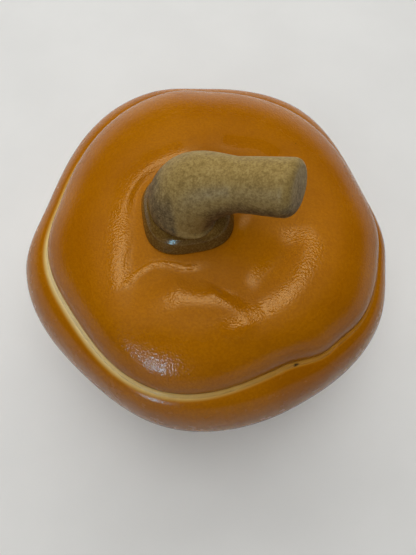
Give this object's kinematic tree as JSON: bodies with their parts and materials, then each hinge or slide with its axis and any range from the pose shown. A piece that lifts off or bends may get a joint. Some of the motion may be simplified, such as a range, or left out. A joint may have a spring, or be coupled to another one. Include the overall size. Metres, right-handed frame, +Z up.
{
  "type": "ceramic pumpkin jar",
  "caption": "Ribbed ceramic pumpkin jar with a lift-off lid and a bent stem as its handle, in satin amber glaze with a pale rim.",
  "frame": {"origin": "centre of the foot ring on the table", "axes": "+Z up, the way the lid lifts; -Y towards the viewer of the picture; the stem bends towards +X"},
  "size_m": [0.1484, 0.1542, 0.1136],
  "materials": {
    "amber_glaze_bowl": "satin",
    "bare_clay": "matte",
    "amber_glaze_lid": "satin",
    "pale_clay": "matte",
    "brown_glaze": "gloss",
    "olive_glaze": "satin"
  },
  "bodies": {
    "bowl": {"bowl": "amber_glaze_bowl", "foot_ring": "bare_clay"},
    "lid": {"lid": "amber_glaze_lid", "locating_flange": "pale_clay", "stem_collar": "brown_glaze", "stem": "olive_glaze"}
  },
  "joints": [
    {"name": "lid_lift", "type": "slide", "parent": "bowl", "child": "lid", "axis": [0, 0, 1], "range_m": [0, 0.08]}
  ]
}
